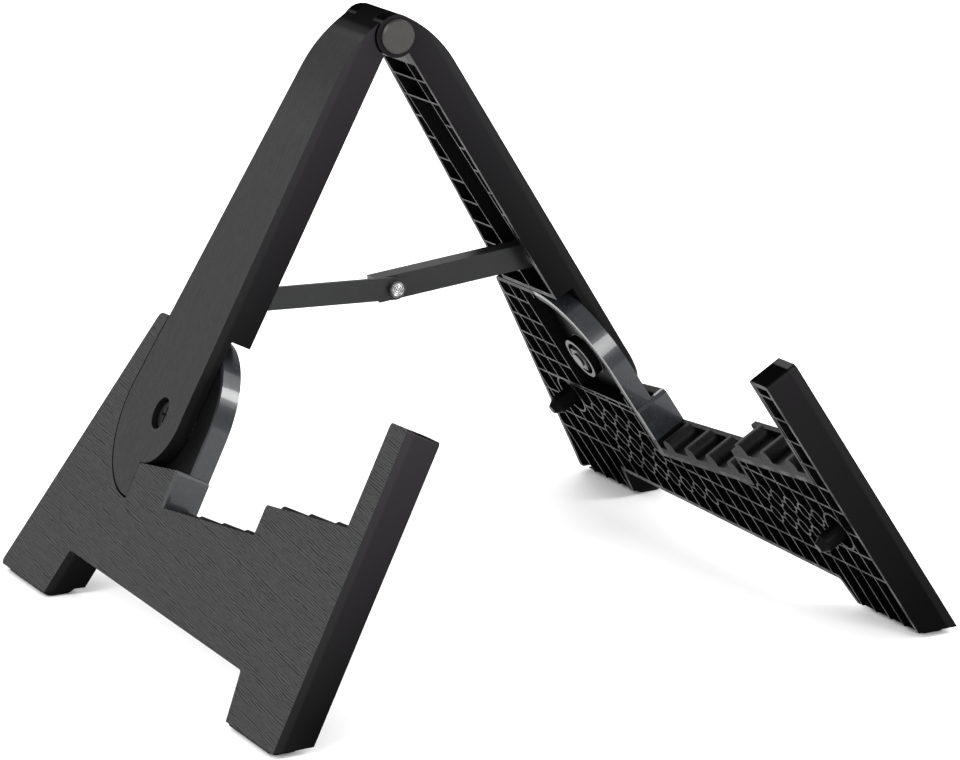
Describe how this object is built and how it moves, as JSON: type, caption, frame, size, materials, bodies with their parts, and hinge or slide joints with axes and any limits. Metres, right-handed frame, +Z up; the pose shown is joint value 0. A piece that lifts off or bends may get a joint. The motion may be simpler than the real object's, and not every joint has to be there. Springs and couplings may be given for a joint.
{
  "type": "folding guitar stand",
  "caption": "Folding A-frame guitar stand: hinged ribbed side panels with fold-up stepped feet, rubber-lined cradles and an over-centre brace.",
  "frame": {"origin": "on the floor, under the middle of the stand's bounding box", "axes": "+Z up, +Y from the front uprights to the rear, +X to the right seen from the front"},
  "size_m": [0.2658, 0.2787, 0.2159],
  "materials": {
    "arm_plastic": "fine matt moulded texture",
    "foot_plastic": "directional wood-grain moulded texture",
    "bumper_gloss": "glossy blue-grey",
    "pad_rubber": "matt black rubber",
    "brace_paint": "satin dark grey paint",
    "bracket_steel": "plain zinc-plated steel",
    "cap_plastic": "satin black",
    "screw_black": "black oxide steel",
    "bright_steel": "bright zinc-plated steel"
  },
  "bodies": {
    "left_arm_side": {"left_arm": "arm_plastic", "hinge_pin": "bright_steel", "hinge_cap_front": "cap_plastic", "hinge_cap_rear": "cap_plastic", "left_brace_bracket": "bracket_steel", "left_bracket_screws": "bright_steel", "left_link_rivet": "bright_steel", "left_pivot_screw": "screw_black", "left_pivot_washer": "bright_steel", "left_pivot_nut": "bright_steel"},
    "right_arm_side": {"right_arm": "arm_plastic", "right_brace_bracket": "bracket_steel", "right_bracket_screws": "bright_steel", "right_link_rivet": "bright_steel", "right_pivot_screw": "screw_black", "right_pivot_washer": "bright_steel", "right_pivot_nut": "bright_steel"},
    "left_brace_link": {"left_link": "brace_paint", "brace_bolt": "bright_steel"},
    "right_brace_link": {"right_link": "brace_paint", "brace_nut": "bright_steel"},
    "left_foot_side": {"left_foot": "foot_plastic", "left_bumper": "bumper_gloss", "left_lower_pad": "pad_rubber", "left_upper_pad": "pad_rubber", "left_front_floor_pad": "pad_rubber", "left_rear_floor_pad": "pad_rubber"},
    "right_foot_side": {"right_foot": "foot_plastic", "right_bumper": "bumper_gloss", "right_lower_pad": "pad_rubber", "right_upper_pad": "pad_rubber", "right_front_floor_pad": "pad_rubber", "right_rear_floor_pad": "pad_rubber"}
  },
  "joints": [
    {"name": "arm_fold", "type": "hinge", "parent": "left_arm_side", "child": "right_arm_side", "pos_m": [0, 0.04534, 0.2074], "axis": [0, 0.9996, -0.0279], "range_deg": [0, 58]},
    {"name": "left_foot_fold", "type": "hinge", "parent": "left_arm_side", "child": "left_foot_side", "pos_m": [-0.08418, 0.0585, 0.06956], "axis": [-0.8746, 0.0135, 0.4846], "range_deg": [0, 60.01]},
    {"name": "right_foot_fold", "type": "hinge", "parent": "right_arm_side", "child": "right_foot_side", "pos_m": [0.08418, 0.0585, 0.06956], "axis": [-0.8746, -0.0135, -0.4846], "range_deg": [0, 60.01]},
    {"name": "left_link_fold", "type": "hinge", "parent": "left_arm_side", "child": "left_brace_link", "pos_m": [-0.05939, 0.04513, 0.11384], "axis": [0, -0.9996, 0.0279], "range_deg": [0, 58.65]},
    {"name": "right_link_fold", "type": "hinge", "parent": "right_arm_side", "child": "right_brace_link", "pos_m": [0.05939, 0.05133, 0.11367], "axis": [0, 0.9996, -0.0279], "range_deg": [0, 58.65]}
  ],
  "couplings": [
    {"joint": "left_link_fold", "follows": "arm_fold", "ratio": 1.011},
    {"joint": "right_link_fold", "follows": "arm_fold", "ratio": 1.011},
    {"joint": "left_foot_fold", "follows": "arm_fold", "ratio": 1.0345},
    {"joint": "right_foot_fold", "follows": "arm_fold", "ratio": 1.0345}
  ]
}
